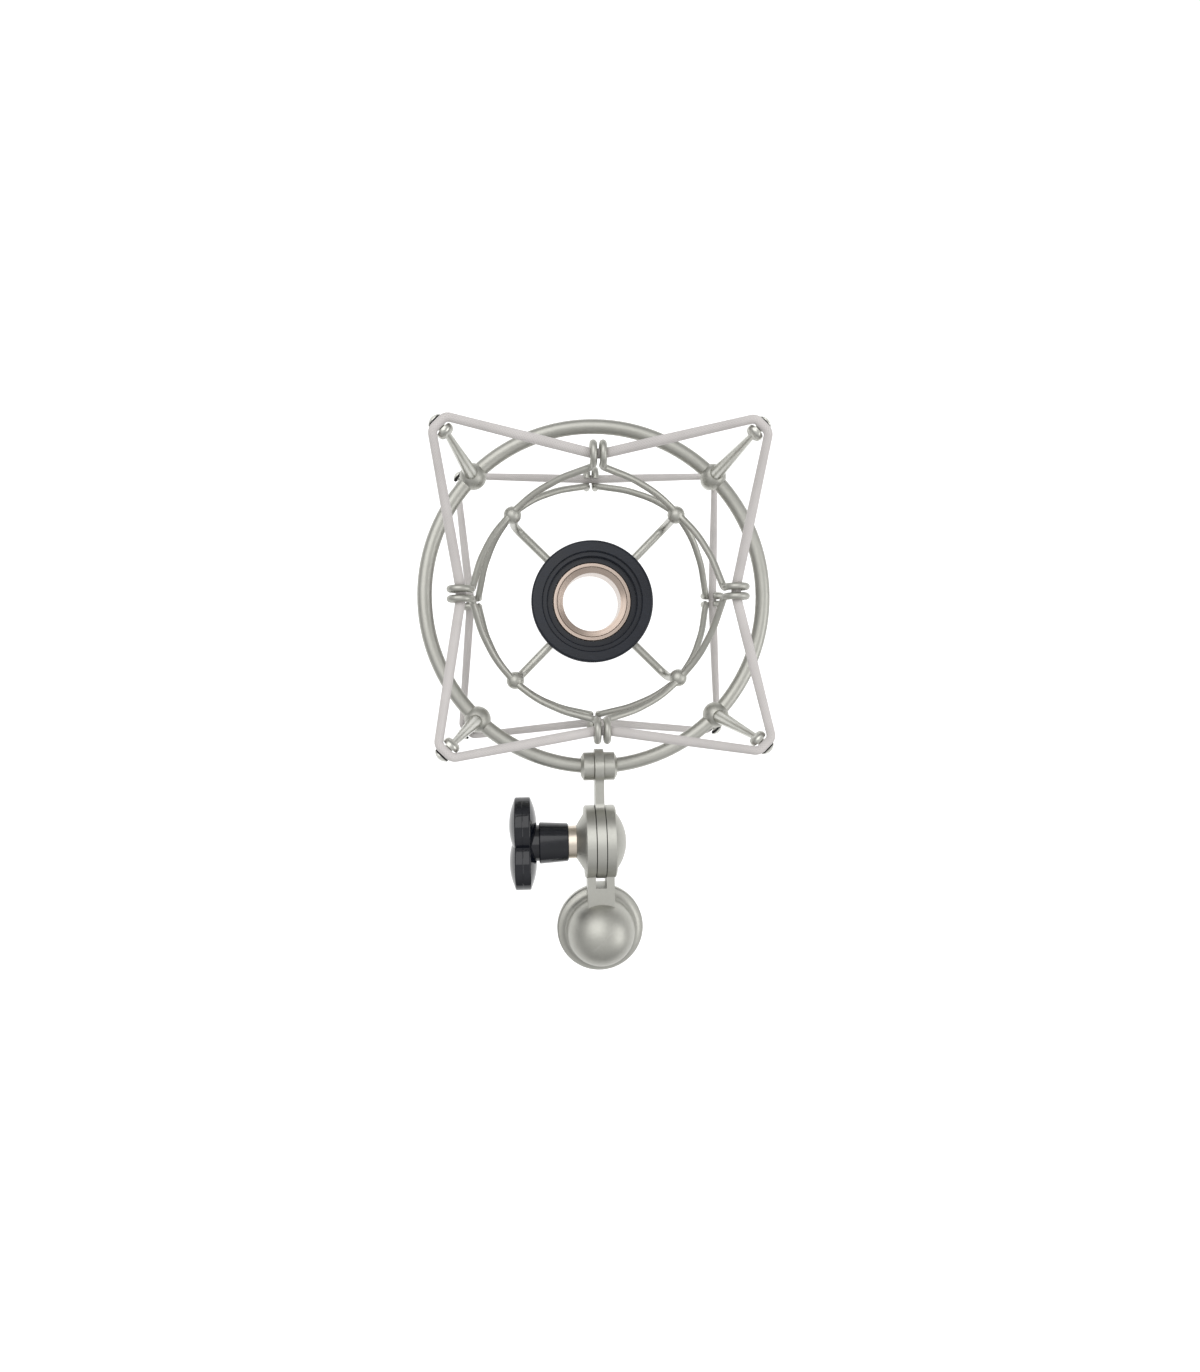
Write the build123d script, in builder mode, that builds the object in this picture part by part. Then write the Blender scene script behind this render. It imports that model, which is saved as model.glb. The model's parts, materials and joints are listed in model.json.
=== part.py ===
from build123d import *
import os
from math import cos, radians, sin

# Elastic-suspension shock mount for a large studio condenser microphone.
# Millimetres, +Z up. The origin is the mouth of the stand thread, on its axis.
# The microphone axis is vertical and stands RING_Y in front of the stand axis (+Y).
# Heights in the suspension are counted from the plane of the outer ring.

# Layout
RING_Y = 131.6
RING_Z = 7.5
PIVOT_Y = 35.8
CORNERS = {"right_far": 45, "left_far": 135, "left_near": 225, "right_near": 315}
SIDES = {"upper": 1, "lower": -1}

# Outer ring, its corner balls and its posts
RING_RADIUS = 66.2
RING_ROD_RADIUS = 2.8
CORNER_BALL_RADIUS = 5.1
TIP_RADIUS = 74.6
TIP_HEIGHT = 41.0
POST_ROOT_RADIUS = 2.7
POST_TIP_RADIUS = 1.1
POST_ROOT_DISTANCE = 3.5

# Spool at each post's tip: a round-backed flange, a neck that holds the elastic, a washer and a screw.
# Its axis is level and points outwards; these are distances along it from the tip.
FLANGE_RADIUS = 3.1
FLANGE_BACK = -1.6
FLANGE_BACK_RADIUS = 1.6
FLANGE_SHOULDER = -0.1
FLANGE_FACE = 0.6
NECK_RADIUS = 1.5
NECK_END = 4.2
WASHER_THICKNESS = 0.5
WASHER_RADIUS = 2.7
HEAD_THICKNESS = 1.6
HEAD_EDGE = 0.3
HEAD_RADIUS = 2.8
SCREW_RADIUS = 0.9
SCREW_DEPTH = 3.2

# Elastics: closed bands that zigzag between the tips and the basket's hooks
ELASTIC_DIAMETER = {"upper": 3.2, "lower": 2.9}
ELASTIC_SHOULDER = 3.2
ELASTIC_TIP_BEND = 3.0
ELASTIC_HOOK_BEND = 8.0
ELASTIC_CLEARANCE = 0.12
BEND_ROUNDS = 6

# Basket: bent wires with a hook loop at each end, balls, spokes, hub and seat
WIRE_RADIUS = 1.3
WIRE_CYLINDER = 45.9
WIRE_LOW = 0.4
WIRE_BEND_ANGLES = (14, 28)
WIRE_RISER_ANGLE = 42.5
WIRE_RISER_HEIGHT = 17.0
WIRE_RISE_POWER = 1.1
WIRE_BALL_BEND = 10.0
WIRE_SIDE_BEND = 46.0
WIRE_RISER_BEND = 2.6
HOOK_CENTRE = 50.5
HOOK_HEIGHT = 21.0
HOOK_LOOP_RADIUS = 3.7
HOOK_OFFSET = 1.78
HOOK_END_ANGLE = -95
BASKET_BALL_RADIUS = 3.4
BASKET_BALL_CENTRE = 45.2
SPOKE_RADIUS = 1.75
SPOKE_HEIGHT = -28.5
SPOKE_START = 20.5
SPOKE_TOP = -3.0
SPOKE_BEND = 5.0
HUB_RADIUS = 24.0
HUB_BOTTOM = -31.0
HUB_TOP = -26.0
HUB_BORE = 14.7
HUB_EDGE = 1.0
SEAT_RADIUS = 25.5
SEAT_RIM = -20.5
SEAT_SHOULDER = 1.2
SEAT_RIM_INNER = 21.1
SEAT_LEDGE = -21.9
SEAT_LEDGE_INNER = 19.1
SEAT_EDGE = 0.4
SEAT_FLOOR = -24.4
SEAT_BORE = 16.6

# Threaded sleeve that takes the microphone's base thread, and its hand wheel
SLEEVE_BORE = 12.2
SLEEVE_LEAD_IN_RADIUS = 14.5
SLEEVE_LEAD_IN_DEPTH = 1.32
SLEEVE_LIP = 0.35
SLEEVE_FLANGE_RADIUS = 16.5
SLEEVE_EDGE = 0.4
SLEEVE_NECK_RADIUS = 14.65
SLEEVE_TAIL_RADIUS = 14.0
SLEEVE_TOP = -23.6
SLEEVE_BOTTOM = -39.5
RUNNING_GAP = 0.05
NUT_WASHER_THICKNESS = 0.5
NUT_WASHER_RADIUS = 19.5
HAND_WHEEL_RADIUS = 22.0
HAND_WHEEL_EDGE = 0.8
HAND_WHEEL_GRIPS = 24
GRIP_GROOVE_RADIUS = 1.5
GRIP_GROOVE_CENTRE = 22.8

# Swivel: the arm's disc is squeezed between two ears by the clamping knob
ARM_HALF = 1.75
ARM_DISC_RADIUS = 14.3
ARM_EYE_RADIUS = 6.8
ARM_BAR_HEIGHT = 9.0
ARM_BAR_BLEND = 3.0
COLLAR_RADIUS = 5.5
COLLAR_EDGE = 0.3
COLLAR_LENGTH = 4.2
COLLAR_TAPER = 1.1
COLLAR_END_RADIUS = 3.7
SLOT_HALF = 2.1
EAR_RADIUS = 14.15
EAR_OUTER = 6.05
EAR_EDGE = 0.5
SLOT_DEPTH = 17.4
YOKE_WIDTH = 10.4
YOKE_HEIGHT = 11.4
CONE_BASE_RADIUS = 11.3
CONE_TOP_RADIUS = 6.35
CONE_TOP = -9.25
CAP_BASE_RADIUS = 11.5
CAP_TOP = 10.45
CAP_MIDDLE = 9.05
CAP_MIDDLE_RADIUS = 6.7
FRICTION_WASHER_RADIUS = 13.6
SCREW_CLEARANCE = 2.75
CLAMP_SCREW_RADIUS = 2.4
CLAMP_SCREW_END = 9.55
CLAMP_SCREW_EDGE = 0.5

# Stand socket
DOME_RADIUS = 13.3
SKIRT_RADIUS = 17.2
SKIRT_HEIGHT = 3.4
SKIRT_EDGE = 0.6
SHOULDER_RADIUS = 14.3
SHOULDER_HEIGHT = 4.5
SOCKET_RADIUS = 7.7
SOCKET_DEPTH = 10.5
THREAD_BORE = 4.1
DRIVER_SLOT_WIDTH = 2.0
DRIVER_SLOT_DEPTH = 1.2

# Clamping knob, on the -X side: a neck and two round lobes, one towards +Y and one towards -Y
KNOB_COLLAR_RADIUS = 6.4
KNOB_FACE = -12.4
KNOB_FACE_RADIUS = 7.4
KNOB_NECK = -23.8
KNOB_NECK_RADIUS = 8.05
KNOB_EDGE = 0.4
KNOB_WEB_RADIUS = 7.0
LOBE_CENTRE = -30.1
LOBE_OFFSET = 7.2
LOBE_RADIUS = 10.9
LOBE_HALF = 5.4
LOBE_RIM_ROUND = 0.8
LOBE_RIM_HALF = 3.2
INSERT_RADIUS = 4.5
INSERT_END = -21.0

RING_CENTRE = Vector(0, RING_Y, RING_Z)
PIVOT_AXIS = Axis((0, PIVOT_Y, RING_Z), (1, 0, 0))
PIVOT_PROFILE = Plane(origin=(0, PIVOT_Y, RING_Z), x_dir=(1, 0, 0), z_dir=(0, -1, 0))
EYE_CENTRE = Vector(0, RING_Y - RING_RADIUS, RING_Z)
EYE_PROFILE = Plane(origin=EYE_CENTRE, x_dir=(1, 0, 0), z_dir=(0, -1, 0))
MICROPHONE_AXIS = Axis(RING_CENTRE, (0, 0, 1))
MICROPHONE_PROFILE = Plane(origin=RING_CENTRE, x_dir=(1, 0, 0), z_dir=(0, -1, 0))


def save(piece, name):
    """Labels a finished piece and writes it to its own file."""
    piece.part.label = name
    export_step(piece.part, f"parts/{name}.step")


def outward(angle):
    """The direction away from the microphone axis at an angle about it."""
    return Vector(cos(radians(angle)), sin(radians(angle)), 0)


def sideways(angle):
    """The direction along the ring at an angle about the microphone axis."""
    return Vector(-sin(radians(angle)), cos(radians(angle)), 0)


def around(angle, radius, height, offset=0.0):
    """A point at an angle, distance and height about the microphone axis."""
    return RING_CENTRE + outward(angle) * radius + sideways(angle) * offset + Vector(0, 0, height)


def by_tip(angle, side, reach=0.0, offset=0.0, lift=0.0):
    """A point by a post's tip: outwards along its spool, sideways, and away from the ring's plane."""
    return around(angle, TIP_RADIUS + reach, side * (TIP_HEIGHT + lift), offset)


def make_outer_ring():
    with BuildPart() as outer_ring:
        with Locations(RING_CENTRE):
            Torus(RING_RADIUS, RING_ROD_RADIUS)
    return outer_ring


def make_corner_ball(angle):
    """A ball that the ring's rod runs through."""
    with BuildPart() as ball:
        with Locations(around(angle, RING_RADIUS, 0)):
            Sphere(CORNER_BALL_RADIUS)
        with Locations(RING_CENTRE):
            Torus(RING_RADIUS, RING_ROD_RADIUS, mode=Mode.SUBTRACT)
    return ball


def make_post(angle, side):
    """A tapered rod from a corner ball to a tip spool."""
    foot = around(angle, RING_RADIUS, 0)
    tip = by_tip(angle, side)
    top = by_tip(angle, side, (FLANGE_BACK + FLANGE_FACE) / 2)
    along = (top - foot).normalized()
    with BuildPart() as post:
        with BuildSketch(Plane(origin=foot + along * POST_ROOT_DISTANCE, z_dir=along)):
            Circle(POST_ROOT_RADIUS)
        with BuildSketch(Plane(origin=top, z_dir=along)):
            Circle(POST_TIP_RADIUS)
        loft()
        with BuildSketch(Plane(origin=tip, x_dir=outward(angle), z_dir=sideways(angle) * -side)):
            with BuildLine():
                Line((FLANGE_BACK, 0), (NECK_END, 0))
                Line((NECK_END, 0), (NECK_END, NECK_RADIUS))
                Line((NECK_END, NECK_RADIUS), (FLANGE_FACE, NECK_RADIUS))
                Line((FLANGE_FACE, NECK_RADIUS), (FLANGE_FACE, FLANGE_RADIUS))
                Line((FLANGE_FACE, FLANGE_RADIUS), (FLANGE_SHOULDER, FLANGE_RADIUS))
                TangentArc((FLANGE_SHOULDER, FLANGE_RADIUS), (FLANGE_BACK, FLANGE_BACK_RADIUS), tangent=(-1, 0))
                Line((FLANGE_BACK, FLANGE_BACK_RADIUS), (FLANGE_BACK, 0))
            make_face()
        revolve(axis=Axis(tip, outward(angle)))
        with BuildSketch(Plane(origin=by_tip(angle, side, NECK_END), z_dir=outward(angle))):
            Circle(SCREW_RADIUS)
        extrude(amount=-SCREW_DEPTH, mode=Mode.SUBTRACT)
        with Locations(foot):
            Sphere(CORNER_BALL_RADIUS, mode=Mode.SUBTRACT)
    return post


def make_tip_washers():
    """The thin washer under each tip screw's head, all eight."""
    with BuildPart() as washers:
        for side in SIDES.values():
            for angle in CORNERS.values():
                with BuildSketch(Plane(origin=by_tip(angle, side, NECK_END), z_dir=outward(angle))):
                    Circle(WASHER_RADIUS)
                    Circle(SCREW_RADIUS, mode=Mode.SUBTRACT)
                extrude(amount=WASHER_THICKNESS)
    return washers


def make_tip_screws():
    """The dome-head screw at each post's tip, all eight."""
    head = NECK_END + WASHER_THICKNESS
    top = head + HEAD_THICKNESS
    start = NECK_END - SCREW_DEPTH
    with BuildPart() as screws:
        for side in SIDES.values():
            for angle in CORNERS.values():
                tip = by_tip(angle, side)
                with BuildSketch(Plane(origin=tip, x_dir=outward(angle), z_dir=sideways(angle))):
                    with BuildLine():
                        Line((top, 0), (start, 0))
                        Line((start, 0), (start, SCREW_RADIUS))
                        Line((start, SCREW_RADIUS), (head, SCREW_RADIUS))
                        Line((head, SCREW_RADIUS), (head, HEAD_RADIUS))
                        Line((head, HEAD_RADIUS), (head + HEAD_EDGE, HEAD_RADIUS))
                        TangentArc((top, 0), (head + HEAD_EDGE, HEAD_RADIUS), tangent=(0, 1))
                    make_face()
                revolve(axis=Axis(tip, outward(angle)))
    return screws


def bend_corner(before, at, after, bend_radius):
    """The sharp corner whose rounding of that radius passes through a point."""
    corner = at
    for _ in range(BEND_ROUNDS):
        back = (before - corner).normalized()
        ahead = (after - corner).normalized()
        half_angle = radians(back.get_angle(ahead)) / 2
        corner = at - (back + ahead).normalized() * bend_radius * (1 / sin(half_angle) - 1)
    return corner


def elastic_shoulder(angle, side, turn, diameter):
    """The corner of an elastic on one side of a tip's neck; it lies straight across the neck between two."""
    groove = NECK_END - diameter / 2 - ELASTIC_CLEARANCE
    lift = NECK_RADIUS + diameter / 2 + ELASTIC_CLEARANCE
    return by_tip(angle, side, groove, turn * ELASTIC_SHOULDER, lift)


def elastic_hook(angle, side, diameter):
    """The sharp corner of an elastic where it passes through a pair of hook loops."""
    seat = around(angle, HOOK_CENTRE, side * HOOK_HEIGHT)
    before = elastic_shoulder(angle - 45, side, 1, diameter)
    after = elastic_shoulder(angle + 45, side, -1, diameter)
    return bend_corner(before, seat, after, ELASTIC_HOOK_BEND)


def make_elastic(side, diameter):
    """A closed band over four tips and through four pairs of hook loops."""
    with BuildPart() as elastic:
        for angle in CORNERS.values():
            hook_before = elastic_hook(angle - 45, side, diameter)
            first = elastic_shoulder(angle, side, -1, diameter)
            second = elastic_shoulder(angle, side, 1, diameter)
            hook_after = elastic_hook(angle + 45, side, diameter)
            next_first = elastic_shoulder(angle + 90, side, -1, diameter)
            bends = (
                (hook_before, first, second, ELASTIC_TIP_BEND),
                (first, second, hook_after, ELASTIC_TIP_BEND),
                (second, hook_after, next_first, ELASTIC_HOOK_BEND),
            )
            for before, corner, after, bend_radius in bends:
                start = (before + corner) / 2
                end = (corner + after) / 2
                with BuildLine() as route:
                    FilletPolyline(start, corner, end, radius=bend_radius)
                with BuildSketch(Plane(origin=start, z_dir=corner - start)):
                    Circle(diameter / 2)
                sweep(path=route.wires()[0])
    return elastic


def wire_height(turned):
    """How far a wire has risen from the ring's plane at an angle from its basket ball."""
    rise = WIRE_RISER_HEIGHT - WIRE_LOW
    return WIRE_LOW + rise * (turned / WIRE_RISER_ANGLE) ** WIRE_RISE_POWER


def hook_point(angle, offset, side, loop_angle):
    """A point on a hook loop's centreline; the loop stands in a plane along the radius."""
    radius = HOOK_CENTRE + HOOK_LOOP_RADIUS * cos(radians(loop_angle))
    height = HOOK_HEIGHT + HOOK_LOOP_RADIUS * sin(radians(loop_angle))
    return around(angle, radius, side * height, offset)


def wire_points(angle, turn, side):
    """A wire's corners from beside its basket ball to the foot of one hook loop."""
    points = []
    for turned in WIRE_BEND_ANGLES:
        points.append(around(angle + turn * turned, WIRE_CYLINDER, side * wire_height(turned)))
    station = angle + turn * 45
    offset = -turn * HOOK_OFFSET
    points.append(around(station, HOOK_CENTRE - HOOK_LOOP_RADIUS, side * WIRE_RISER_HEIGHT, offset))
    points.append(hook_point(station, offset, side, 180))
    return points


def make_wire(angle, side):
    """A wire bent over a basket ball, with a hook loop at each end."""
    left = wire_points(angle, 1, side)
    right = wire_points(angle, -1, side)
    middle = around(angle, WIRE_CYLINDER, side * WIRE_LOW)
    bends = [WIRE_RISER_BEND] + [WIRE_SIDE_BEND] * len(WIRE_BEND_ANGLES)
    with BuildPart() as wire:
        with BuildLine() as route:
            FilletPolyline(*reversed(left), middle, *right, radius=bends + [WIRE_BALL_BEND] + bends[::-1])
            for turn in (1, -1):
                station = angle + turn * 45
                offset = -turn * HOOK_OFFSET
                loop = [hook_point(station, offset, side, a) for a in (180, 90, 0, HOOK_END_ANGLE / 2, HOOK_END_ANGLE)]
                ThreePointArc(loop[0], loop[1], loop[2])
                ThreePointArc(loop[2], loop[3], loop[4])
        path = route.wires()[0]
        with BuildSketch(Plane(origin=path @ 0, z_dir=path % 0)):
            Circle(WIRE_RADIUS)
        sweep(path=path)
    return wire


def make_spoke(angle):
    """A rod from the hub outwards and up to a basket ball."""
    start = around(angle, SPOKE_START, SPOKE_HEIGHT)
    corner = around(angle, BASKET_BALL_CENTRE, SPOKE_HEIGHT)
    top = around(angle, BASKET_BALL_CENTRE, SPOKE_TOP)
    with BuildPart() as spoke:
        with BuildLine() as route:
            FilletPolyline(start, corner, top, radius=SPOKE_BEND)
        with BuildSketch(Plane(origin=start, z_dir=outward(angle))):
            Circle(SPOKE_RADIUS)
        sweep(path=route.wires()[0])
    return spoke


def make_basket_ball(angle, wires, spoke):
    """The ball that joins two wires and a spoke."""
    with BuildPart() as ball:
        with Locations(around(angle, BASKET_BALL_CENTRE, 0)):
            Sphere(BASKET_BALL_RADIUS)
        for wire in wires:
            add(wire.part, mode=Mode.SUBTRACT)
        add(spoke.part, mode=Mode.SUBTRACT)
    return ball


def make_hub(spokes):
    """The metal disc under the seat, with a socket for each spoke."""
    with BuildPart() as hub:
        with BuildSketch(MICROPHONE_PROFILE):
            with BuildLine():
                Polyline(
                    (HUB_BORE, HUB_TOP),
                    (HUB_RADIUS, HUB_TOP),
                    (HUB_RADIUS, HUB_BOTTOM + HUB_EDGE),
                    (HUB_RADIUS - HUB_EDGE, HUB_BOTTOM),
                    (HUB_BORE, HUB_BOTTOM),
                    close=True,
                )
            make_face()
        revolve(axis=MICROPHONE_AXIS)
        for spoke in spokes:
            add(spoke.part, mode=Mode.SUBTRACT)
    return hub


def make_seat_cup():
    """The black seat that the microphone's base rests in."""
    with BuildPart() as seat_cup:
        with BuildSketch(MICROPHONE_PROFILE):
            with BuildLine():
                TangentArc(
                    (SEAT_RADIUS, SEAT_RIM - SEAT_SHOULDER), (SEAT_RADIUS - SEAT_SHOULDER, SEAT_RIM), tangent=(0, 1)
                )
                Polyline(
                    (SEAT_RADIUS - SEAT_SHOULDER, SEAT_RIM),
                    (SEAT_RIM_INNER, SEAT_RIM),
                    (SEAT_RIM_INNER - SEAT_EDGE, SEAT_RIM - SEAT_EDGE),
                    (SEAT_RIM_INNER - SEAT_EDGE, SEAT_LEDGE),
                    (SEAT_LEDGE_INNER, SEAT_LEDGE),
                    (SEAT_LEDGE_INNER - SEAT_EDGE, SEAT_LEDGE - SEAT_EDGE),
                    (SEAT_LEDGE_INNER - SEAT_EDGE, SEAT_FLOOR),
                    (SEAT_BORE, SEAT_FLOOR),
                    (SEAT_BORE, HUB_TOP),
                    (SEAT_RADIUS, HUB_TOP),
                    (SEAT_RADIUS, SEAT_RIM - SEAT_SHOULDER),
                )
            make_face()
        revolve(axis=MICROPHONE_AXIS)
    return seat_cup


def make_threaded_sleeve():
    """The flanged sleeve that turns in the hub and takes the microphone's thread."""
    flange_bottom = HUB_TOP + RUNNING_GAP
    tail_top = HUB_BOTTOM - NUT_WASHER_THICKNESS - RUNNING_GAP
    with BuildPart() as sleeve:
        with BuildSketch(MICROPHONE_PROFILE):
            with BuildLine():
                Polyline(
                    (SLEEVE_BORE, SLEEVE_BOTTOM),
                    (SLEEVE_BORE, SLEEVE_TOP - SLEEVE_LEAD_IN_DEPTH),
                    (SLEEVE_LEAD_IN_RADIUS, SLEEVE_TOP - SLEEVE_LIP),
                    (SLEEVE_LEAD_IN_RADIUS + SLEEVE_LIP, SLEEVE_TOP),
                    (SLEEVE_FLANGE_RADIUS - SLEEVE_EDGE, SLEEVE_TOP),
                    (SLEEVE_FLANGE_RADIUS, SLEEVE_TOP - SLEEVE_EDGE),
                    (SLEEVE_FLANGE_RADIUS, flange_bottom),
                    (SLEEVE_NECK_RADIUS, flange_bottom),
                    (SLEEVE_NECK_RADIUS, tail_top),
                    (SLEEVE_TAIL_RADIUS, tail_top),
                    (SLEEVE_TAIL_RADIUS, SLEEVE_BOTTOM),
                    close=True,
                )
            make_face()
        revolve(axis=MICROPHONE_AXIS)
    return sleeve


def make_nut_washer():
    """The thin slip washer between the hub and the hand wheel."""
    with BuildPart() as washer:
        with BuildSketch(Plane(origin=around(0, 0, HUB_BOTTOM - NUT_WASHER_THICKNESS), z_dir=(0, 0, 1))):
            Circle(NUT_WASHER_RADIUS)
            Circle(SLEEVE_NECK_RADIUS + RUNNING_GAP, mode=Mode.SUBTRACT)
        extrude(amount=NUT_WASHER_THICKNESS)
    return washer


def make_hand_wheel():
    """The grooved wheel under the hub, fixed on the sleeve's tail."""
    top = HUB_BOTTOM - NUT_WASHER_THICKNESS - RUNNING_GAP
    height = top - SLEEVE_BOTTOM
    with BuildPart() as wheel:
        with BuildSketch(Plane(origin=around(0, 0, SLEEVE_BOTTOM), z_dir=(0, 0, 1))):
            Circle(HAND_WHEEL_RADIUS)
        extrude(amount=height)
        rims = wheel.edges().filter_by(GeomType.CIRCLE)
        chamfer(rims, HAND_WHEEL_EDGE)
        with BuildSketch(Plane(origin=around(0, 0, SLEEVE_BOTTOM), z_dir=(0, 0, 1))):
            Circle(SLEEVE_TAIL_RADIUS)
            with PolarLocations(GRIP_GROOVE_CENTRE, HAND_WHEEL_GRIPS):
                Circle(GRIP_GROOVE_RADIUS)
        extrude(amount=height, mode=Mode.SUBTRACT)
    return wheel


def make_stand_yoke():
    """One casting: the bell over the stand thread, the fork and its two round ears."""
    with BuildPart() as yoke:
        with BuildSketch(Plane.XZ):
            with BuildLine():
                Polyline(
                    (0, 0),
                    (SKIRT_RADIUS - SKIRT_EDGE, 0),
                    (SKIRT_RADIUS, SKIRT_EDGE),
                    (SKIRT_RADIUS, SKIRT_HEIGHT - SKIRT_EDGE),
                    (SKIRT_RADIUS - SKIRT_EDGE, SKIRT_HEIGHT),
                )
                ThreePointArc(
                    (SKIRT_RADIUS - SKIRT_EDGE, SKIRT_HEIGHT),
                    (SHOULDER_RADIUS, SHOULDER_HEIGHT),
                    (DOME_RADIUS, RING_Z),
                )
                CenterArc((0, RING_Z), DOME_RADIUS, 0, 90)
                Line((0, RING_Z + DOME_RADIUS), (0, 0))
            make_face()
        revolve(axis=Axis.Z)
        with Locations((0, PIVOT_Y / 2, RING_Z)):
            Box(YOKE_WIDTH, PIVOT_Y, YOKE_HEIGHT)
        with BuildSketch(PIVOT_PROFILE):
            with BuildLine():
                Line((CONE_TOP, 0), (CONE_TOP, CONE_TOP_RADIUS))
                Line((CONE_TOP, CONE_TOP_RADIUS), (-EAR_OUTER, CONE_BASE_RADIUS))
                Polyline(
                    (-EAR_OUTER, CONE_BASE_RADIUS),
                    (-EAR_OUTER, EAR_RADIUS - EAR_EDGE),
                    (-EAR_OUTER + EAR_EDGE, EAR_RADIUS),
                    (EAR_OUTER - EAR_EDGE, EAR_RADIUS),
                    (EAR_OUTER, EAR_RADIUS - EAR_EDGE),
                    (EAR_OUTER, CAP_BASE_RADIUS),
                )
                ThreePointArc((EAR_OUTER, CAP_BASE_RADIUS), (CAP_MIDDLE, CAP_MIDDLE_RADIUS), (CAP_TOP, 0))
                Line((CAP_TOP, 0), (CONE_TOP, 0))
            make_face()
        revolve(axis=PIVOT_AXIS)
        slot_start = PIVOT_Y - SLOT_DEPTH
        slot_length = SLOT_DEPTH + EAR_RADIUS + 1
        with Locations((0, slot_start + slot_length / 2, RING_Z)):
            Box(2 * SLOT_HALF, slot_length, 2 * EAR_RADIUS + 2, mode=Mode.SUBTRACT)
        with BuildSketch(Plane(origin=(0, PIVOT_Y, RING_Z), z_dir=(-1, 0, 0))):
            Circle(SCREW_CLEARANCE)
        extrude(amount=-CONE_TOP + 1, mode=Mode.SUBTRACT)
        with BuildSketch(Plane(origin=(0, PIVOT_Y, RING_Z), z_dir=(1, 0, 0))):
            Circle(CLAMP_SCREW_RADIUS + RUNNING_GAP)
        extrude(amount=CAP_TOP + 1, mode=Mode.SUBTRACT)
        with BuildSketch(Plane.XY):
            Circle(SOCKET_RADIUS)
        extrude(amount=SOCKET_DEPTH, mode=Mode.SUBTRACT)
    return yoke


def make_thread_adapter():
    """The slotted bush that reduces the wide stand thread to the narrow one."""
    with BuildPart() as adapter:
        with BuildSketch(Plane.XY):
            Circle(SOCKET_RADIUS)
            Circle(THREAD_BORE, mode=Mode.SUBTRACT)
        extrude(amount=SOCKET_DEPTH)
        with Locations((0, 0, 0)):
            Box(2 * SOCKET_RADIUS + 1, DRIVER_SLOT_WIDTH, 2 * DRIVER_SLOT_DEPTH, mode=Mode.SUBTRACT)
    return adapter


def make_friction_washer(side):
    """The dark washer between the arm's disc and one ear."""
    with BuildPart() as washer:
        with BuildSketch(Plane(origin=(side * SLOT_HALF, PIVOT_Y, RING_Z), z_dir=(-side, 0, 0))):
            Circle(FRICTION_WASHER_RADIUS)
            Circle(SCREW_CLEARANCE, mode=Mode.SUBTRACT)
        extrude(amount=SLOT_HALF - ARM_HALF - RUNNING_GAP)
    return washer


def make_swivel_arm():
    """The flat arm from the pivot disc to the eye that the ring's rod runs through."""
    reach = EYE_CENTRE.Y - PIVOT_Y
    with BuildPart() as arm:
        with BuildSketch(Plane(origin=(-ARM_HALF, PIVOT_Y, RING_Z), x_dir=(0, 1, 0), z_dir=(1, 0, 0))) as outline:
            Circle(ARM_DISC_RADIUS)
            with Locations((reach / 2, 0)):
                Rectangle(reach, ARM_BAR_HEIGHT)
            with Locations((reach, 0)):
                Circle(ARM_EYE_RADIUS)
            lower, *between, upper = outline.vertices().group_by(Axis.Y)
            fillet(lower + upper, ARM_BAR_BLEND)
            Circle(SCREW_CLEARANCE, mode=Mode.SUBTRACT)
        extrude(amount=2 * ARM_HALF)
        with Locations(RING_CENTRE):
            Torus(RING_RADIUS, RING_ROD_RADIUS, mode=Mode.SUBTRACT)
    return arm


def make_ring_collar(side):
    """A collar on the ring's rod beside the arm's eye."""
    start = side * ARM_HALF
    inner_edge = side * (ARM_HALF + COLLAR_EDGE)
    shoulder = side * (ARM_HALF + COLLAR_LENGTH)
    end = side * (ARM_HALF + COLLAR_LENGTH + COLLAR_TAPER)
    with BuildPart() as collar:
        with BuildSketch(EYE_PROFILE):
            with BuildLine():
                Polyline(
                    (start, 0),
                    (start, COLLAR_RADIUS - COLLAR_EDGE),
                    (inner_edge, COLLAR_RADIUS),
                    (shoulder, COLLAR_RADIUS),
                    (end, COLLAR_END_RADIUS),
                    (end, 0),
                    close=True,
                )
            make_face()
        revolve(axis=Axis(EYE_CENTRE, (1, 0, 0)))
        with Locations(RING_CENTRE):
            Torus(RING_RADIUS, RING_ROD_RADIUS, mode=Mode.SUBTRACT)
    return collar


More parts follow.
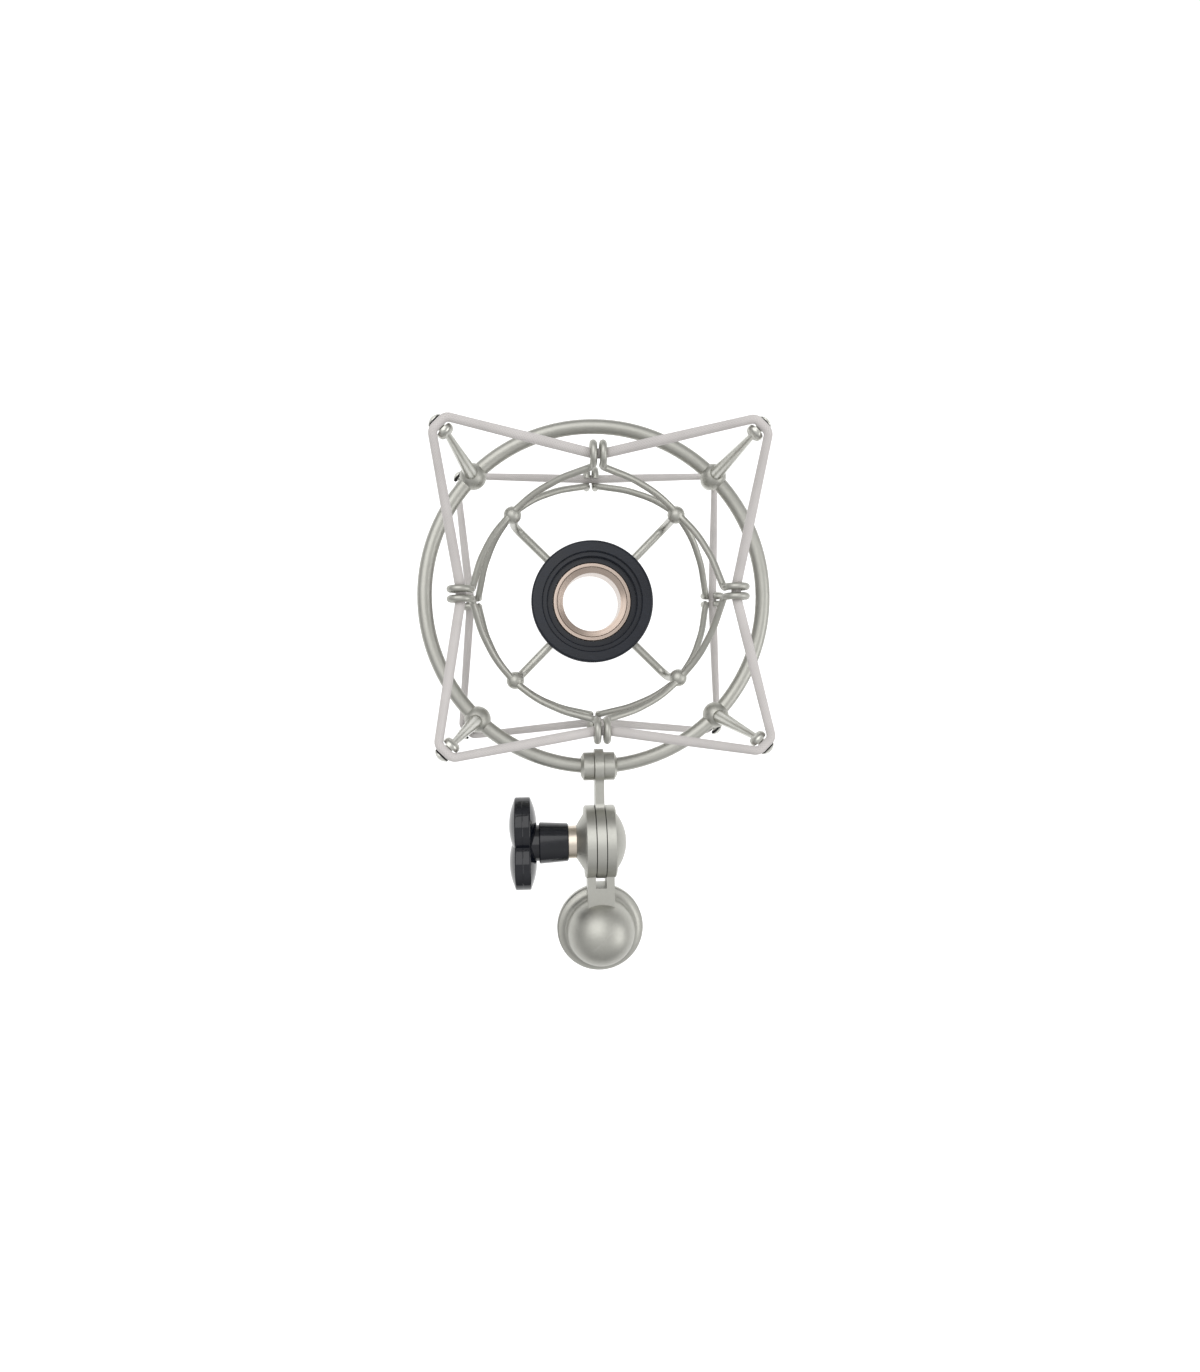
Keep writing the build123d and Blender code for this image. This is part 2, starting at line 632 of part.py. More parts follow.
def make_knob():
    """The moulded knob, with a bore for its insert; its lobes overlap in a waist behind the neck."""
    rim = LOBE_RADIUS - LOBE_RIM_ROUND
    edge_half = LOBE_RIM_HALF - LOBE_RIM_ROUND
    with BuildPart() as knob:
        with BuildSketch(PIVOT_PROFILE):
            with BuildLine():
                Polyline(
                    (KNOB_FACE, 0),
                    (KNOB_FACE, KNOB_FACE_RADIUS - KNOB_EDGE),
                    (KNOB_FACE - KNOB_EDGE, KNOB_FACE_RADIUS),
                    (KNOB_NECK + KNOB_EDGE, KNOB_NECK_RADIUS),
                    (KNOB_NECK, KNOB_NECK_RADIUS - KNOB_EDGE),
                    (KNOB_NECK, KNOB_WEB_RADIUS),
                    (LOBE_CENTRE, KNOB_WEB_RADIUS),
                    (LOBE_CENTRE, 0),
                    close=True,
                )
            make_face()
        revolve(axis=PIVOT_AXIS)
        for side in (1, -1):
            lobe = Vector(LOBE_CENTRE, PIVOT_Y + side * LOBE_OFFSET, RING_Z)
            with BuildSketch(Plane(origin=lobe, x_dir=(1, 0, 0), z_dir=(0, -1, 0))):
                with BuildLine():
                    TangentArc((-LOBE_HALF, 0), (-LOBE_RIM_HALF, rim), tangent=(0, 1))
                    TangentArc((-edge_half, LOBE_RADIUS), (-LOBE_RIM_HALF, rim), tangent=(-1, 0))
                    Line((-edge_half, LOBE_RADIUS), (edge_half, LOBE_RADIUS))
                    TangentArc((edge_half, LOBE_RADIUS), (LOBE_RIM_HALF, rim), tangent=(1, 0))
                    TangentArc((LOBE_HALF, 0), (LOBE_RIM_HALF, rim), tangent=(0, 1))
                    Line((LOBE_HALF, 0), (-LOBE_HALF, 0))
                make_face()
            revolve(axis=Axis(lobe, (1, 0, 0)))
        with BuildSketch(Plane(origin=(KNOB_FACE, PIVOT_Y, RING_Z), z_dir=(-1, 0, 0))):
            Circle(INSERT_RADIUS)
        extrude(amount=KNOB_FACE - INSERT_END, mode=Mode.SUBTRACT)
    return knob


def make_knob_insert():
    """The metal insert in the knob, with the collar that presses on the ear."""
    with BuildPart() as insert:
        with BuildSketch(PIVOT_PROFILE):
            with BuildLine():
                Polyline(
                    (CONE_TOP - RUNNING_GAP, CLAMP_SCREW_RADIUS),
                    (CONE_TOP - RUNNING_GAP, KNOB_COLLAR_RADIUS),
                    (KNOB_FACE, KNOB_COLLAR_RADIUS),
                    (KNOB_FACE, INSERT_RADIUS),
                    (INSERT_END, INSERT_RADIUS),
                    (INSERT_END, CLAMP_SCREW_RADIUS),
                    close=True,
                )
            make_face()
        revolve(axis=PIVOT_AXIS)
    return insert


def make_clamp_screw():
    """The screw fixed in the knob's insert, through the arm into the far ear."""
    with BuildPart() as screw:
        with BuildSketch(Plane(origin=(INSERT_END, PIVOT_Y, RING_Z), z_dir=(1, 0, 0))):
            Circle(CLAMP_SCREW_RADIUS)
        extrude(amount=CLAMP_SCREW_END - INSERT_END)
        chamfer(screw.faces().sort_by(Axis.X)[-1].edges(), CLAMP_SCREW_EDGE)
    return screw


def main():
    os.makedirs("parts", exist_ok=True)

    save(make_stand_yoke(), "stand_yoke")
    save(make_thread_adapter(), "thread_adapter")
    save(make_friction_washer(-1), "friction_washer_left")
    save(make_friction_washer(1), "friction_washer_right")

    save(make_knob(), "knob")
    save(make_knob_insert(), "knob_insert")
    save(make_clamp_screw(), "clamp_screw")

    save(make_swivel_arm(), "swivel_arm")
    save(make_ring_collar(-1), "ring_collar_left")
    save(make_ring_collar(1), "ring_collar_right")
    save(make_outer_ring(), "outer_ring")
    for corner, angle in CORNERS.items():
        save(make_corner_ball(angle), f"corner_ball_{corner}")
        for level, side in SIDES.items():
            save(make_post(angle, side), f"{level}_post_{corner}")
    save(make_tip_washers(), "tip_washers")
    save(make_tip_screws(), "tip_screws")
    for level, side in SIDES.items():
        save(make_elastic(side, ELASTIC_DIAMETER[level]), f"{level}_elastic")

    spokes = []
    for corner, angle in CORNERS.items():
        wires = []
        for level, side in SIDES.items():
            wire = make_wire(angle, side)
            wires.append(wire)
            save(wire, f"{level}_wire_{corner}")
        spoke = make_spoke(angle)
        spokes.append(spoke)
        save(spoke, f"spoke_{corner}")
        save(make_basket_ball(angle, wires, spoke), f"basket_ball_{corner}")
    save(make_hub(spokes), "hub")
    save(make_seat_cup(), "seat_cup")
    save(make_nut_washer(), "nut_washer")

    save(make_threaded_sleeve(), "threaded_sleeve")
    save(make_hand_wheel(), "hand_wheel")


main()
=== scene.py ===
"""Looks of an elastic-suspension microphone shock mount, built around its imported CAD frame.

Metres, in the CAD frame: the origin is the mouth of the stand thread, +Z is up, the ring is towards +Y.
"""

import json
import math

import bmesh
import bpy
from mathutils import Matrix, Vector


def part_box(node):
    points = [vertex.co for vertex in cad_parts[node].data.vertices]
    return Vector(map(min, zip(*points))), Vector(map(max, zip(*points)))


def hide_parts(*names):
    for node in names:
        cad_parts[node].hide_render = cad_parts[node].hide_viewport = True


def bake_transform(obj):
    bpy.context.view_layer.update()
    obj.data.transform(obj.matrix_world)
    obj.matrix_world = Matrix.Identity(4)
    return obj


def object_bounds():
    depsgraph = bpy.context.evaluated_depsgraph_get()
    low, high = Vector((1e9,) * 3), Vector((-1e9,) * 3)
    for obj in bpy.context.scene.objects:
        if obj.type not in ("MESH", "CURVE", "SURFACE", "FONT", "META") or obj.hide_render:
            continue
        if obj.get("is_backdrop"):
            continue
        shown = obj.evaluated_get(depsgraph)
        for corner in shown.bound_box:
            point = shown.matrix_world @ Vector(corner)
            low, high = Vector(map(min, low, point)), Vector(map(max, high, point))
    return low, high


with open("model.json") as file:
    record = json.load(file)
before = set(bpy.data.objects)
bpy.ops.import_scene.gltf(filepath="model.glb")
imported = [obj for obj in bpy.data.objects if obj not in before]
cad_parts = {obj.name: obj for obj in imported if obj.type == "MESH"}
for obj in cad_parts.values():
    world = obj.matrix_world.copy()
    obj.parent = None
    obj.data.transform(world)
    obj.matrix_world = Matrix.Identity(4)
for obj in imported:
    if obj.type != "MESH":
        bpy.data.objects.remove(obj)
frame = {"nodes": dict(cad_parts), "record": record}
cad_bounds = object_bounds()

MM = 0.001

# Degrees about the microphone axis, from +X, of the four posts and tips.
CORNERS = {"right_far": 45, "left_far": 135, "left_near": 225, "right_near": 315}
SIDES = {"upper": 1, "lower": -1}


def middle(node):
    """The centre of a node's box at rest."""
    low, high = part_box(node)
    return (Vector(low) + Vector(high)) / 2


RING_CENTRE = middle("outer_ring")
PIVOT = middle("friction_washer_left")
PIVOT.x = 0.0


def add_object(name, data):
    """A new object in the scene."""
    item = bpy.data.objects.new(name, data)
    bpy.context.scene.collection.objects.link(item)
    return item


# ---------------------------------------------------------------- node helpers

# Most of a noise texture's values lie between these.
NOISE_LOW = 0.3
NOISE_HIGH = 0.7

# Sockets of a Mix node that mixes colours.
MIX_FIRST = 6
MIX_SECOND = 7
MIX_RESULT = 2


def fill(node, **sockets):
    """Sets a node's input sockets, named with an underscore for each space."""
    for key, value in sockets.items():
        node.inputs[key.replace("_", " ")].default_value = value


class Nodes:
    """A material's node tree, with short calls for what the materials below share."""

    def __init__(self, name):
        self.material = bpy.data.materials.new(name)
        self.material.use_nodes = True
        self.tree = self.material.node_tree
        self.shader = self.tree.nodes["Principled BSDF"]

    def add(self, kind, **settings):
        node = self.tree.nodes.new(kind)
        for key, value in settings.items():
            setattr(node, key, value)
        return node

    def link(self, source, target):
        self.tree.links.new(source, target)

    def place(self, scale=(1, 1, 1), turn=(0, 0, 0), origin=None):
        """The object coordinates, in metres, about an origin, turned and scaled."""
        coordinates = self.add("ShaderNodeTexCoord")
        mapping = self.add("ShaderNodeMapping", vector_type="TEXTURE" if origin else "POINT")
        fill(mapping, Location=origin or (0, 0, 0), Rotation=turn, Scale=scale)
        self.link(coordinates.outputs["Object"], mapping.inputs["Vector"])
        return mapping.outputs["Vector"]

    def noise(self, vector, scale, detail, roughness=0.55):
        node = self.add("ShaderNodeTexNoise")
        fill(node, Scale=scale, Detail=detail, Roughness=roughness)
        self.link(vector, node.inputs["Vector"])
        return node.outputs["Fac"]

    def remap(self, value, low, high, to_low, to_high):
        node = self.add("ShaderNodeMapRange")
        self.link(value, node.inputs["Value"])
        fill(node, From_Min=low, From_Max=high, To_Min=to_low, To_Max=to_high)
        return node.outputs["Result"]

    def spread(self, noise, to_low=0.0, to_high=1.0):
        """A noise stretched over a whole range."""
        return self.remap(noise, NOISE_LOW, NOISE_HIGH, to_low, to_high)

    def mix_colour(self, factor, dark, light):
        node = self.add("ShaderNodeMix", data_type="RGBA")
        self.link(factor, node.inputs["Factor"])
        node.inputs[MIX_FIRST].default_value = (*dark, 1)
        node.inputs[MIX_SECOND].default_value = (*light, 1)
        return node.outputs[MIX_RESULT]

    def math(self, operation, first, second):
        node = self.add("ShaderNodeMath", operation=operation)
        for socket, value in zip(node.inputs, (first, second)):
            if isinstance(value, (int, float)):
                socket.default_value = value
            else:
                self.link(value, socket)
        return node.outputs[0]

    def weigh(self, first, second, first_share):
        """The weighted mean of two values."""
        weighted = self.math("MULTIPLY", first, first_share)
        return self.math("ADD", weighted, self.math("MULTIPLY", second, 1 - first_share))

    def bump(self, height, strength, depth, under=None):
        node = self.add("ShaderNodeBump")
        fill(node, Strength=strength, Distance=depth)
        self.link(height, node.inputs["Height"])
        if under is not None:
            self.link(under, node.inputs["Normal"])
        return node.outputs["Normal"]

    def finish(self, colour=None, roughness=None, normal=None, **constants):
        for socket, output in (("Base Color", colour), ("Roughness", roughness), ("Normal", normal)):
            if output is not None:
                self.link(output, self.shader.inputs[socket])
        fill(self.shader, **constants)
        return self.material


# ---------------------------------------------------------------- materials

# Metal: the pointiness at which an edge starts to wear and is fully worn, and how much smoother it gets.
WEAR_START = 0.52
WEAR_FULL = 0.60
WEAR_SMOOTHS = 0.25
PLATE_CLOUD_SHARE = 0.7
BLAST_DEPTH = 0.06 * MM

# Turned metal: a wave texture's radians per metre at scale 1, and the depth of the lathe's rings.
WAVE_RADIANS = 20.0
TURNING_DEPTH = 0.04 * MM
TURNING_STRENGTH = 0.10

# Plastic and rubber: the direction of the scuffs, and the mould's parting line.
SCUFF_SCALE = (1, 7, 2)
SCUFF_TURN = (0.4, 0.2, 0.7)
SCUFF_ROUGHS = 0.4
PEEL_DEPTH = 0.05 * MM
PARTING_TOP = 0.06 * MM
PARTING_FOOT = 0.22 * MM
PARTING_DEPTH = 0.10 * MM
PARTING_STRENGTH = 0.8

# Elastic cover: how much of its colour is uneven dye, the rest being painted shade that darkens the braid's
# valleys.
DYE_SHARE_REST_PAINTED_SHADE = 0.35
FUZZ_DEPTH = 0.06 * MM
FUZZ_STRENGTH = 0.25


def metal(name, tones, roughness, grain, grain_strength, worn):
    """Plated metal: uneven tone, fine blasted grain, smoother brighter worn edges."""
    n = Nodes(name)
    place = n.place()
    cloud = n.noise(place, scale=45.0, detail=4.0)
    speck = n.noise(place, scale=900.0, detail=2.0)
    tone = n.weigh(cloud, speck, PLATE_CLOUD_SHARE)
    edge = n.add("ShaderNodeNewGeometry").outputs["Pointiness"]
    wear = n.remap(edge, WEAR_START, WEAR_FULL, 0.0, worn)
    colour = n.mix_colour(n.math("ADD", n.spread(tone), wear), *tones)
    rough = n.math("SUBTRACT", n.spread(cloud, *roughness), n.math("MULTIPLY", wear, WEAR_SMOOTHS))
    fine = n.noise(place, scale=grain, detail=2.0, roughness=0.7)
    normal = n.bump(fine, grain_strength, BLAST_DEPTH)
    return n.finish(colour, rough, normal, Metallic=1.0)


def turned_metal(name, tones, roughness, centre, axis_turn, groove):
    """Lathe-turned metal: uneven tone under rings about an axis, each 2 pi grooves from the next."""
    n = Nodes(name)
    place = n.place(origin=tuple(centre), turn=axis_turn)
    rings = n.add("ShaderNodeTexWave", wave_type="RINGS", rings_direction="Z")
    fill(rings, Scale=1.0 / groove / WAVE_RADIANS, Distortion=0.35, Detail=2.0)
    n.link(place, rings.inputs["Vector"])
    cloud = n.noise(place, scale=60.0, detail=4.0)
    colour = n.mix_colour(n.spread(cloud), *tones)
    ridged = n.math("MULTIPLY", cloud, rings.outputs["Fac"])
    rough = n.remap(ridged, 0.0, 0.6, *roughness)
    normal = n.bump(rings.outputs["Fac"], TURNING_STRENGTH, TURNING_DEPTH)
    return n.finish(colour, rough, normal, Metallic=1.0)


def plastic(name, tones, roughness, grain, grain_strength, shine=0.5, parting_line=None):
    """Moulded plastic or rubber: orange peel, faint scuffs, and the mould's parting line at an X."""
    n = Nodes(name)
    place = n.place()
    cloud = n.noise(place, scale=70.0, detail=5.0)
    scuff = n.noise(n.place(scale=SCUFF_SCALE, turn=SCUFF_TURN), scale=320.0, detail=3.0)
    colour = n.mix_colour(n.remap(n.math("MULTIPLY", cloud, scuff), 0.18, 0.42, 0.0, 1.0), *tones)
    rubbed = n.math("ADD", cloud, n.math("MULTIPLY", scuff, SCUFF_ROUGHS))
    rough = n.remap(rubbed, 0.45, 0.95, *roughness)
    normal = n.bump(n.noise(place, scale=grain, detail=2.0), grain_strength, PEEL_DEPTH)
    if parting_line is not None:
        split = n.add("ShaderNodeSeparateXYZ")
        n.link(place, split.inputs[0])
        away = n.math("ABSOLUTE", n.math("SUBTRACT", split.outputs["X"], parting_line), 0.0)
        ridge = n.remap(away, PARTING_TOP, PARTING_FOOT, 1.0, 0.0)
        normal = n.bump(ridge, PARTING_STRENGTH, PARTING_DEPTH, under=normal)
    return n.finish(colour, rough, normal, Specular_IOR_Level=shine)


def elastic_cloth():
    """Warm grey textile cover of the elastics: yarn tone with painted shade in the braid's valleys, fuzz and
    sheen; the braid itself is geometry.
    """
    n = Nodes("woven_elastic_cover")
    place = n.place()
    cloud = n.noise(place, scale=90.0, detail=4.0)
    fibre = n.noise(place, scale=5200.0, detail=3.0, roughness=0.7)
    # Painted shade: the braid's height darkens the colour where the yarns sink between each other.
    yarn_height_and_shade = n.add("ShaderNodeAttribute", attribute_name="braid").outputs["Fac"]
    tone = n.weigh(cloud, yarn_height_and_shade, DYE_SHARE_REST_PAINTED_SHADE)
    shade = n.remap(tone, 0.15, 0.8, 0.0, 1.0)
    colour = n.mix_colour(shade, dark=(0.36, 0.34, 0.33), light=(0.64, 0.61, 0.595))
    rough = n.spread(fibre, 0.78, 0.95)
    normal = n.bump(fibre, FUZZ_STRENGTH, FUZZ_DEPTH)
    return n.finish(colour, rough, normal, Sheen_Weight=0.25, Sheen_Roughness=0.5)


KNOB_LOBE_HALF = 5.4 * MM
KNOB_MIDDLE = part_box("knob")[0][0] + KNOB_LOBE_HALF
UPRIGHT = (0, 0, 0)
ALONG_X = (0, math.pi / 2, 0)

MATERIALS = {
    "satin_nickel": metal(
        "satin_nickel",
        tones=((0.43, 0.428, 0.39), (0.50, 0.498, 0.46)),
        roughness=(0.42, 0.50),
        grain=7000.0,
        grain_strength=0.28,
        worn=0.3,
    ),
    "polished_nickel": metal(
        "polished_nickel",
        tones=((0.50, 0.50, 0.46), (0.58, 0.58, 0.54)),
        roughness=(0.27, 0.35),
        grain=5000.0,
        grain_strength=0.12,
        worn=0.25,
    ),
    "screw_steel": metal(
        "screw_steel",
        tones=((0.14, 0.14, 0.135), (0.26, 0.26, 0.245)),
        roughness=(0.25, 0.38),
        grain=5000.0,
        grain_strength=0.2,
        worn=0.6,
    ),
    "warm_nickel": turned_metal(
        "warm_nickel",
        tones=((0.40, 0.325, 0.275), (0.45, 0.37, 0.32)),
        roughness=(0.24, 0.32),
        centre=RING_CENTRE,
        axis_turn=UPRIGHT,
        groove=0.18 * MM,
    ),
    "collar_nickel": turned_metal(
        "collar_nickel",
        tones=((0.60, 0.54, 0.455), (0.68, 0.61, 0.52)),
        roughness=(0.22, 0.32),
        centre=PIVOT,
        axis_turn=ALONG_X,
        groove=0.18 * MM,
    ),
    "brass_bush": turned_metal(
        "brass_bush",
        tones=((0.50, 0.38, 0.17), (0.64, 0.50, 0.25)),
        roughness=(0.25, 0.35),
        centre=(0, 0, 0),
        axis_turn=UPRIGHT,
        groove=0.2 * MM,
    ),
    "black_fibre": plastic(
        "black_fibre",
        tones=((0.012, 0.012, 0.012), (0.035, 0.033, 0.031)),
        roughness=(0.75, 0.9),
        grain=2600.0,
        grain_strength=0.5,
        shine=0.3,
    ),
    "white_nylon": plastic(
        "white_nylon",
        tones=((0.55, 0.55, 0.52), (0.72, 0.72, 0.69)),
        roughness=(0.4, 0.55),
        grain=1800.0,
        grain_strength=0.15,
    ),
    "black_rubber": plastic(
        "black_rubber",
        tones=((0.004, 0.006, 0.012), (0.010, 0.014, 0.024)),
        roughness=(0.24, 0.36),
        grain=2200.0,
        grain_strength=0.12,
        shine=0.4,
    ),
    "black_plastic": plastic(
        "black_plastic",
        tones=((0.003, 0.004, 0.007), (0.007, 0.008, 0.013)),
        roughness=(0.07, 0.15),
        grain=1500.0,
        grain_strength=0.04,
        parting_line=KNOB_MIDDLE,
    ),
    "cloth_elastic": elastic_cloth(),
}


def paint(node, material):
    """Gives a CAD node a material."""
    item = frame["nodes"][node]
    item.data.materials.clear()
    item.data.materials.append(material)


def paint_cad_nodes():
    for part in frame["record"]["subparts"]:
        paint(part["node"], MATERIALS[part["material_slot"]])
    paint("knob_insert", MATERIALS["collar_nickel"])


# ---------------------------------------------------------------- elastics

# Where the CAD elastics run, about the microphone axis and from the ring's plane.
HOOK_RADIUS = 50.5 * MM
HOOK_HEIGHT = 21.0 * MM
HOOK_BEND = 8.0 * MM
TIP_RADIUS = 74.6 * MM
TIP_HEIGHT = 41.0 * MM
TIP_BEND = 3.0 * MM
NECK_RADIUS = 1.5 * MM
NECK_END = 4.2 * MM
SHOULDER = 3.2 * MM
CLEARANCE = 0.12 * MM
ELASTIC_DIAMETER = {"upper": 3.2 * MM, "lower": 2.9 * MM}
BEND_ROUNDS = 6

# An elastic is drawn thin over a tip and thickens towards its hooks, by these shares of its diameter.
STRETCHED = 0.96
RELAXED = 1.14
SLACK_SHARE = 0.75

BRAID_SIDES = 32
BRAID_STEP = 0.26 * MM
BRAID_PITCH = 2.1 * MM
BRAID_YARNS = 10
BRAID_RELIEF = 0.075 * MM
YARN_ROUNDNESS = 0.6
YARN_CROSSING = 0.45


def outward(angle):
    return Vector((math.cos(math.radians(angle)), math.sin(math.radians(angle)), 0))


def around(angle, radius, height, offset=0.0):
    """A point at an angle, distance and height about the microphone axis, and along the ring."""
    return RING_CENTRE + outward(angle) * radius + outward(angle + 90) * offset + Vector((0, 0, height))


def bend_corner(before, at, after, bend_radius):
    """The sharp corner whose rounding of that radius passes through a point."""
    corner = at
    for _ in range(BEND_ROUNDS):
        back = (before - corner).normalized()
        ahead = (after - corner).normalized()
        half_angle = back.angle(ahead) / 2
        corner = at - (back + ahead).normalized() * bend_radius * (1 / math.sin(half_angle) - 1)
    return corner


def shoulder(angle, side, turn, diameter):
    """The corner of an elastic on one side of a tip's neck."""
    radius = TIP_RADIUS + NECK_END - diameter / 2 - CLEARANCE
    height = TIP_HEIGHT + NECK_RADIUS + diameter / 2 + CLEARANCE
    return around(angle, radius, side * height, turn * SHOULDER)


def hook_corner(angle, side, diameter):
    """The sharp corner of an elastic in a pair of hook loops."""
    seat = around(angle, HOOK_RADIUS, side * HOOK_HEIGHT)
    before = shoulder(angle - 45, side, 1, diameter)
    after = shoulder(angle + 45, side, -1, diameter)
    return bend_corner(before, seat, after, HOOK_BEND)


def rounded(before, corner, after, bend_radius, step):
    """Points along the arc that rounds a corner, with the arc's two ends first and last."""
    back = (before - corner).normalized()
    ahead = (after - corner).normalized()
    half_angle = back.angle(ahead) / 2
    reach = bend_radius / math.tan(half_angle)
    centre = corner + (back + ahead).normalized() * bend_radius / math.sin(half_angle)
    start = corner + back * reach - centre
    turn_axis = start.cross(corner + ahead * reach - centre).normalized()
    turn = math.pi - 2 * half_angle
    count = max(2, round(turn * bend_radius / step))
    return [centre + Matrix.Rotation(turn * i / count, 3, turn_axis) @ start for i in range(count + 1)]


def straight(start, end, step):
    """Points between two ends, the ends left out."""
    count = max(1, round((end - start).length / step))
    return [start.lerp(end, i / count) for i in range(1, count)]


def quarter_route(angle, side, diameter):
    """A quarter of an elastic: from the middle of one hook, over a tip, to the middle of the next hook."""
    corners = [
        shoulder(angle - 90, side, 1, diameter),
        hook_corner(angle - 45, side, diameter),
        shoulder(angle, side, -1, diameter),
        shoulder(angle, side, 1, diameter),
        hook_corner(angle + 45, side, diameter),
        shoulder(angle + 90, side, -1, diameter),
    ]
    bends = []
    for i, radius in enumerate((HOOK_BEND, TIP_BEND, TIP_BEND, HOOK_BEND)):
        bends.append(rounded(*corners[i : i + 3], radius, BRAID_STEP))
    bends[0] = bends[0][len(bends[0]) // 2 :]
    bends[-1] = bends[-1][: len(bends[-1]) // 2 + 1]
    route = bends[0]
    for bend in bends[1:]:
        route = route + straight(route[-1], bend[0], BRAID_STEP) + bend
    return route


def along(route):
    """Each point of a route, how far along it is, and two directions across the route that never twist."""
    travel = 0.0
    tangent = (route[1] - route[0]).normalized()
    normal = tangent.cross(Vector((0, 0, 1))).normalized()
    for i, point in enumerate(route):
        ahead = (route[min(i + 1, len(route) - 1)] - route[max(i - 1, 0)]).normalized()
        normal = (tangent.rotation_difference(ahead) @ normal).normalized()
        tangent = ahead
        if i:
            travel += (point - route[i - 1]).length
        yield point, travel, normal, tangent.cross(normal)


def width_at(share, diameter):
    """An elastic's width at a share of a quarter's length, with the tip in the middle."""
    from_tip = min(1.0, abs(2 * share - 1) / SLACK_SHARE)
    return diameter * (STRETCHED + (RELAXED - STRETCHED) * from_tip**2 * (3 - 2 * from_tip))


def braid_relief(turn, travel):
    """Height of the braided yarns, 0 to 1: two crossing families, each passing over and under the other."""
    phase = travel / BRAID_PITCH * 2 * math.pi
    right = BRAID_YARNS * turn / 2 + phase
    left = BRAID_YARNS * turn / 2 - phase
    over = 0.5 + 0.5 * math.cos(right) * math.cos(left)
    right_yarn = abs(math.cos(right)) ** YARN_ROUNDNESS
    left_yarn = abs(math.cos(left)) ** YARN_ROUNDNESS
    return max(right_yarn * (1.0 - YARN_CROSSING * (1 - over)), left_yarn * (1.0 - YARN_CROSSING * over))


def braided_tube(name, route, diameter):
    """A tube along a route whose surface carries the relief of a braided cover."""
    mesh = bpy.data.meshes.new(name)
    shape = bmesh.new()
    relief_layer = shape.verts.layers.float.new("braid")
    rings = []
    for i, (point, travel, normal, across) in enumerate(along(route)):
        width = width_at(i / (len(route) - 1), diameter)
        ring = []
        for k in range(BRAID_SIDES):
            turn = 2 * math.pi * k / BRAID_SIDES
            yarn_height_and_shade = braid_relief(turn, travel)
            radius = width / 2 - BRAID_RELIEF * (1 - yarn_height_and_shade)
            vertex = shape.verts.new(point + (normal * math.cos(turn) + across * math.sin(turn)) * radius)
            # The height is kept on each vertex for the cover's painted shade in the braid's valleys.
            vertex[relief_layer] = yarn_height_and_shade
            ring.append(vertex)
        rings.append(ring)
    for before, after in zip(rings, rings[1:]):
        for k in range(BRAID_SIDES):
            m = (k + 1) % BRAID_SIDES
            shape.faces.new((before[k], before[m], after[m], after[k]))
    shape.faces.new(rings[0][::-1])
    shape.faces.new(rings[-1])
    shape.to_mesh(mesh)
    shape.free()
    for polygon in mesh.polygons:
        polygon.use_smooth = True
    return add_object(name, mesh)


def make_elastics():
    """One braided piece over each tip, from the middle of one hook to the middle of the next."""
    for level, side in SIDES.items():
        diameter = ELASTIC_DIAMETER[level]
        for corner, angle in CORNERS.items():
            route = quarter_route(angle, side, diameter)
            piece = braided_tube(f"{level}_elastic_{corner}", route, diameter)
            piece.data.materials.append(MATERIALS["cloth_elastic"])
            tip = around(angle, TIP_RADIUS, side * TIP_HEIGHT)
            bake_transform(piece)
            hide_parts(f"{level}_elastic")


# ---------------------------------------------------------------- surroundings

CAMERA_FROM_RING = Vector((-22.9, -25.5, 323.0)) * MM
TARGET_FROM_RING = Vector((1.0, -34.7, 0.0)) * MM
CAMERA_UP = Vector((0.0150, 1.0, 0.0))
LENS = 21.68
SENSOR_WIDTH = 36.0
CLIP_START = 0.01
CLIP_END = 20.0

# Soft boxes aimed at the ring: place from the ring, size and power.
LIGHTS = {
    "overhead": ((-0.35, 0.45, 0.9), (1.1, 1.1), 5),
    "side": ((0.9, -0.2, 0.5), (0.5, 1.0), 3),
}
LIGHT_UP = Vector((0.01, 1, 0.02))

FLOOR_DROP = 0.55
FLOOR_HALF = 4.0
FLOOR_CELLS = 8
FLOOR_GLOW = 0.4
WHITE = (1, 1, 1, 1)

# Grey of the studio by how high a direction points: at the horizon, and well above it.
WORLD_GREYS = ((0.0, 0.34), (0.8, 0.9))
WORLD_STRENGTH = 0.9


def look_from(item, place, target, up):
    """Points a camera or light at a target, with a direction that is up in its view."""
    back = (place - target).normalized()
    right = up.cross(back).normalized()
    turned = Matrix((right, back.cross(right), back)).transposed()
    item.matrix_world = Matrix.Translation(place) @ turned.to_4x4()


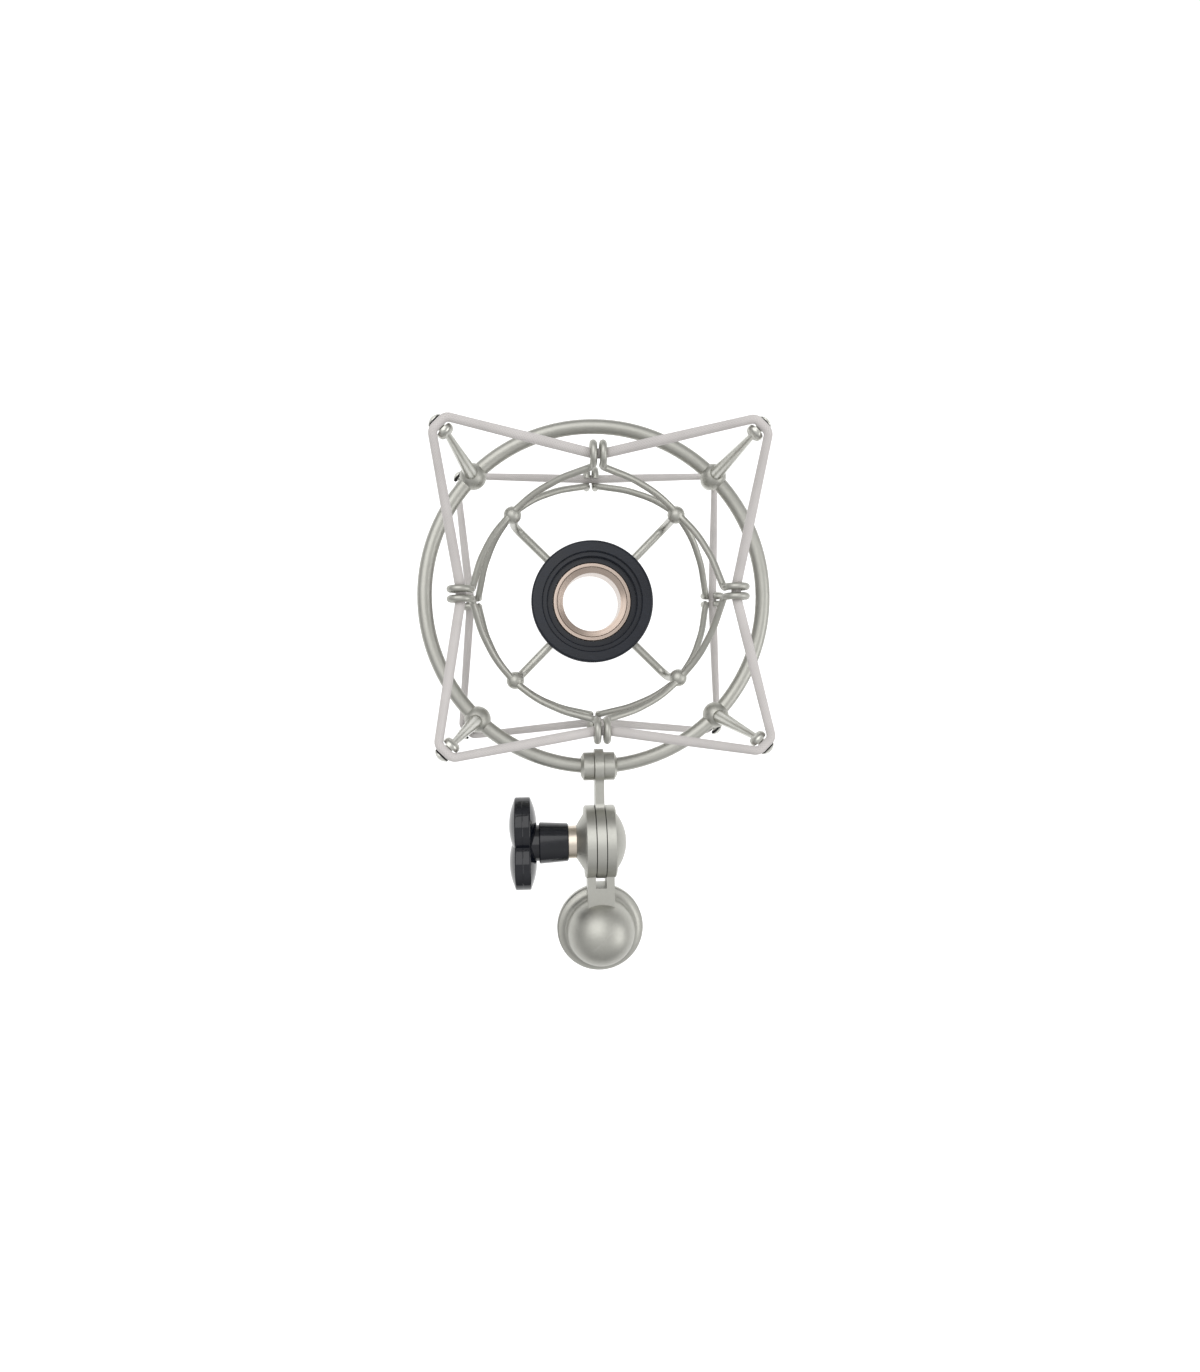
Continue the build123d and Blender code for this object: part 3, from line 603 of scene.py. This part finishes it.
def make_camera():
    data = bpy.data.cameras.new("camera")
    data.lens = LENS
    data.sensor_width = SENSOR_WIDTH
    data.sensor_fit = "AUTO"
    data.clip_start = CLIP_START
    data.clip_end = CLIP_END
    camera = add_object("camera", data)
    look_from(camera, RING_CENTRE + CAMERA_FROM_RING, RING_CENTRE + TARGET_FROM_RING, CAMERA_UP)
    bpy.context.scene.camera = camera


def make_lights():
    for name, (from_ring, size, power) in LIGHTS.items():
        data = bpy.data.lights.new(name, "AREA")
        data.shape = "RECTANGLE"
        data.size, data.size_y = size
        data.energy = power
        look_from(add_object(name, data), RING_CENTRE + Vector(from_ring), RING_CENTRE, LIGHT_UP)


def make_floor():
    n = Nodes("pale_floor")
    cloud = n.noise(n.place(), scale=3.0, detail=2.0)
    colour = n.mix_colour(cloud, dark=(0.93, 0.93, 0.93), light=(0.95, 0.95, 0.95))
    mesh = bpy.data.meshes.new("floor")
    shape = bmesh.new()
    bmesh.ops.create_grid(shape, x_segments=FLOOR_CELLS, y_segments=FLOOR_CELLS, size=FLOOR_HALF)
    shape.to_mesh(mesh)
    shape.free()
    mesh.materials.append(n.finish(colour, Roughness=0.9, Emission_Color=WHITE, Emission_Strength=FLOOR_GLOW))
    floor = add_object("floor", mesh)
    floor.location = (0, 0, cad_bounds[0].z - FLOOR_DROP)
    floor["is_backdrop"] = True


def make_world():
    world = bpy.data.worlds.new("studio")
    bpy.context.scene.world = world
    world.use_nodes = True
    tree = world.node_tree
    background = tree.nodes["Background"]
    coordinates = tree.nodes.new("ShaderNodeTexCoord")
    split = tree.nodes.new("ShaderNodeSeparateXYZ")
    ramp = tree.nodes.new("ShaderNodeValToRGB")
    tree.links.new(coordinates.outputs["Generated"], split.inputs["Vector"])
    tree.links.new(split.outputs["Z"], ramp.inputs["Fac"])
    tree.links.new(ramp.outputs["Color"], background.inputs["Color"])
    for stop, (position, grey) in zip(ramp.color_ramp.elements, WORLD_GREYS):
        stop.position = position
        stop.color = (grey, grey, grey, 1)
    fill(background, Strength=WORLD_STRENGTH)


def make_surroundings():
    bpy.context.scene.view_settings.view_transform = "Standard"
    make_world()
    make_floor()
    make_lights()
    make_camera()


paint_cad_nodes()
make_elastics()
make_surroundings()

[[list(corner) for corner in box] for box in (cad_bounds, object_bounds())]
